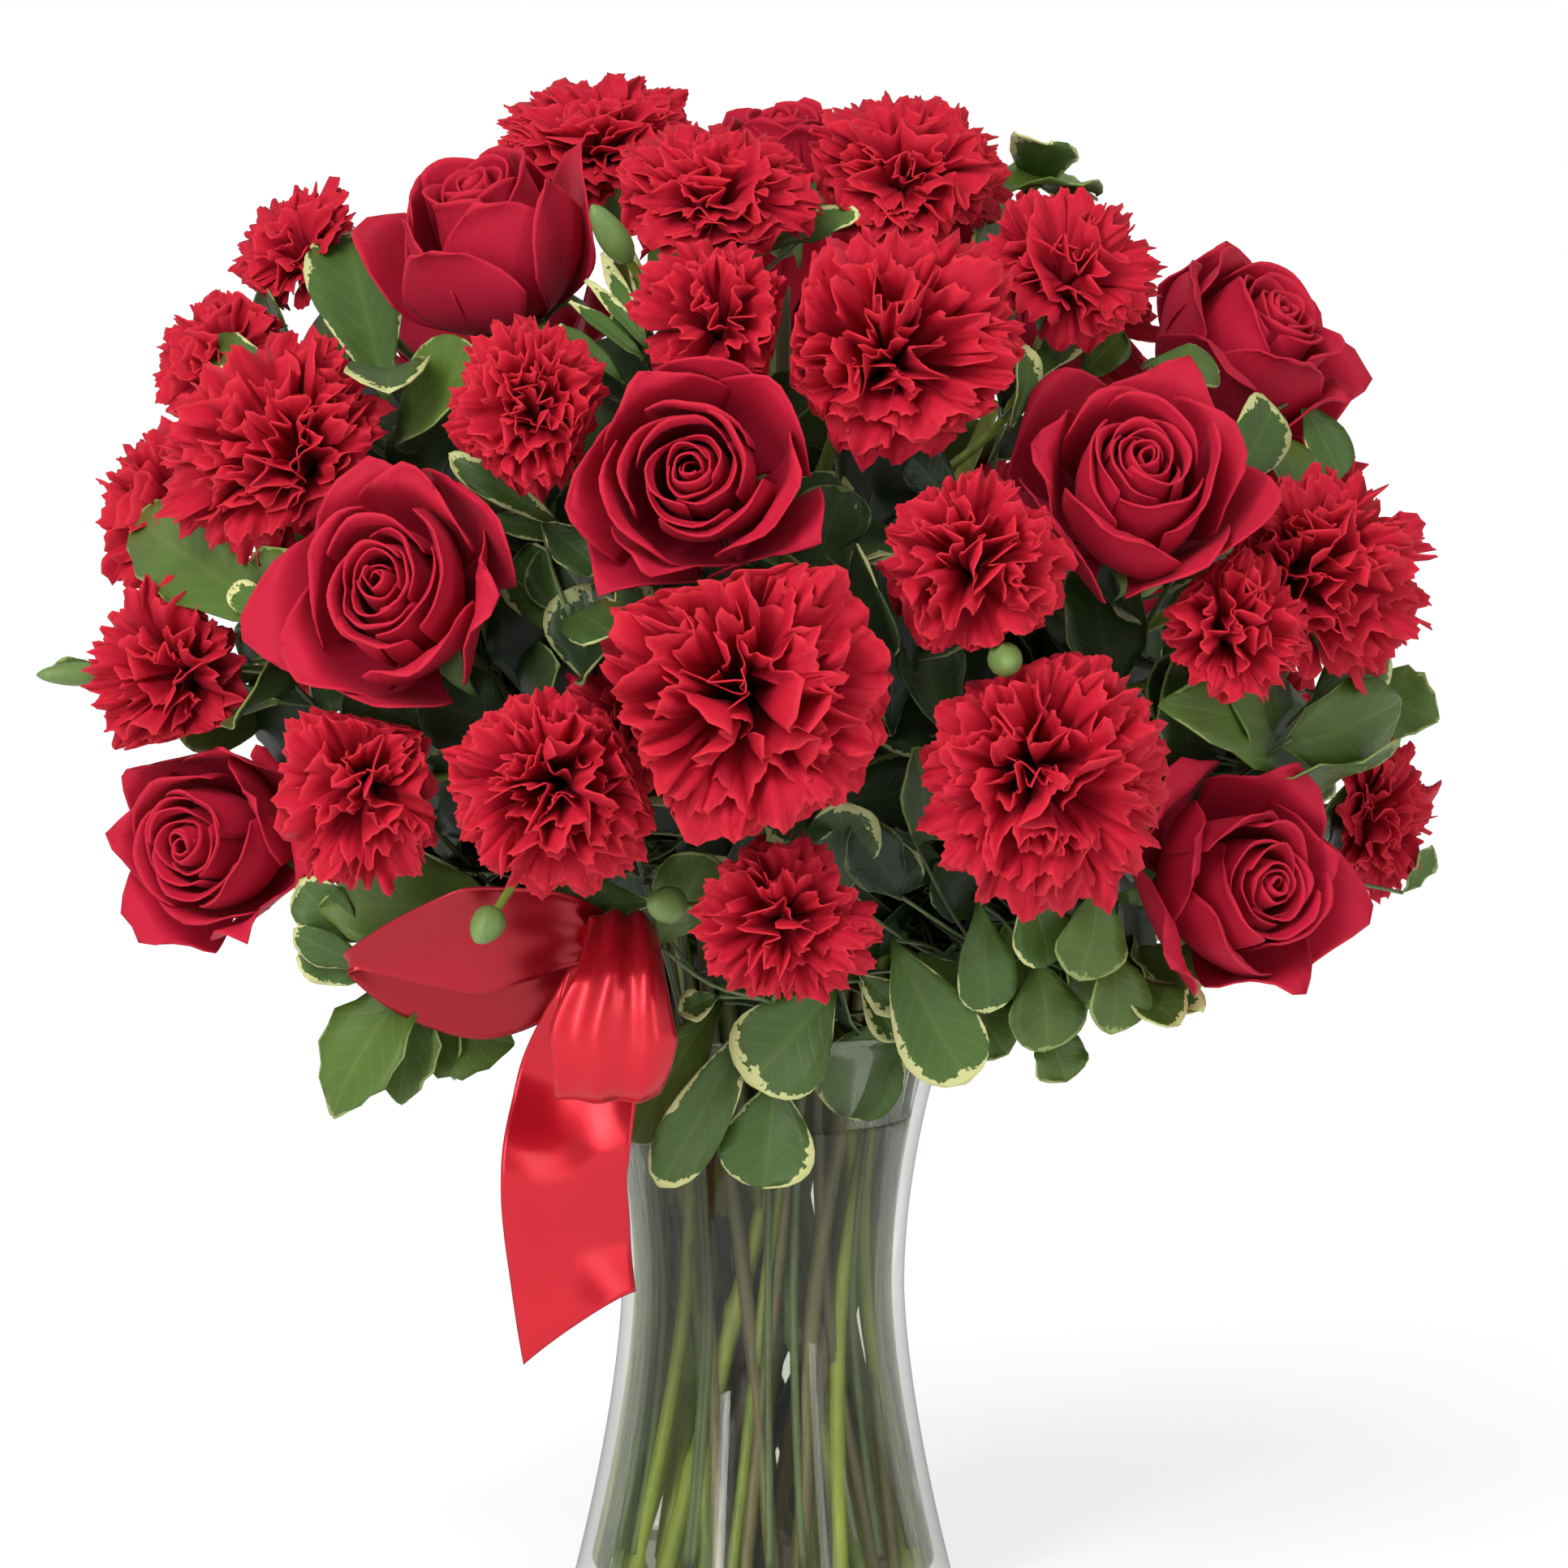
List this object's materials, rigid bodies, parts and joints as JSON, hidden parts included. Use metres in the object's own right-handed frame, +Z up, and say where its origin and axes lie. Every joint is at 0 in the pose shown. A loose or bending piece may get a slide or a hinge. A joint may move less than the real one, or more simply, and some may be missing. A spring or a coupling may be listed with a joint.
{
  "type": "carnations and roses in a glass vase",
  "caption": "Round bouquet of red carnations and roses with variegated greens and a satin bow, standing in a clear waisted glass vase with water.",
  "frame": {"origin": "centre of the flat underside of the vase, on the surface that it stands on", "axes": "+Z up along the vase, -Y towards the viewer of the front with the bow, +X to that viewer's right"},
  "size_m": [0.4165, 0.3138, 0.4693],
  "materials": {
    "glass": "clear",
    "water": "clear",
    "rose_petals": "velvety",
    "carnation_petals": "matte",
    "stems": "satin",
    "leaves": "waxy",
    "ribbon_satin": "satin"
  },
  "bodies": {
    "root": {"vase": "glass", "water": "water", "ribbon_bow": "ribbon_satin", "flower_stems": "stems", "rose_01": "rose_petals", "rose_02": "rose_petals", "rose_03": "rose_petals", "rose_04": "rose_petals", "rose_05": "rose_petals", "rose_06": "rose_petals", "rose_07": "rose_petals", "rose_08": "rose_petals", "rose_09": "rose_petals", "rose_10": "rose_petals", "rose_11": "rose_petals", "carnation_01": "carnation_petals", "carnation_02": "carnation_petals", "carnation_03": "carnation_petals", "carnation_04": "carnation_petals", "carnation_05": "carnation_petals", "carnation_06": "carnation_petals", "carnation_07": "carnation_petals", "carnation_08": "carnation_petals", "carnation_09": "carnation_petals", "carnation_10": "carnation_petals", "carnation_11": "carnation_petals", "carnation_12": "carnation_petals", "carnation_13": "carnation_petals", "carnation_14": "carnation_petals", "carnation_15": "carnation_petals", "carnation_16": "carnation_petals", "mini_carnation_01": "carnation_petals", "mini_carnation_02": "carnation_petals", "mini_carnation_03": "carnation_petals", "mini_carnation_04": "carnation_petals", "mini_carnation_05": "carnation_petals", "mini_carnation_06": "carnation_petals", "mini_carnation_07": "carnation_petals", "mini_carnation_08": "carnation_petals", "mini_carnation_09": "carnation_petals", "mini_carnation_10": "carnation_petals", "mini_carnation_11": "carnation_petals", "mini_carnation_12": "carnation_petals", "mini_carnation_13": "carnation_petals", "mini_carnation_14": "carnation_petals", "greens_01": "leaves", "greens_02": "leaves", "greens_03": "leaves", "greens_04": "leaves", "greens_05": "leaves", "greens_06": "leaves", "greens_07": "leaves", "greens_08": "leaves", "greens_09": "leaves", "greens_10": "leaves", "greens_11": "leaves", "greens_12": "leaves", "greens_13": "leaves", "greens_14": "leaves", "greens_15": "leaves"}
  },
  "joints": []
}
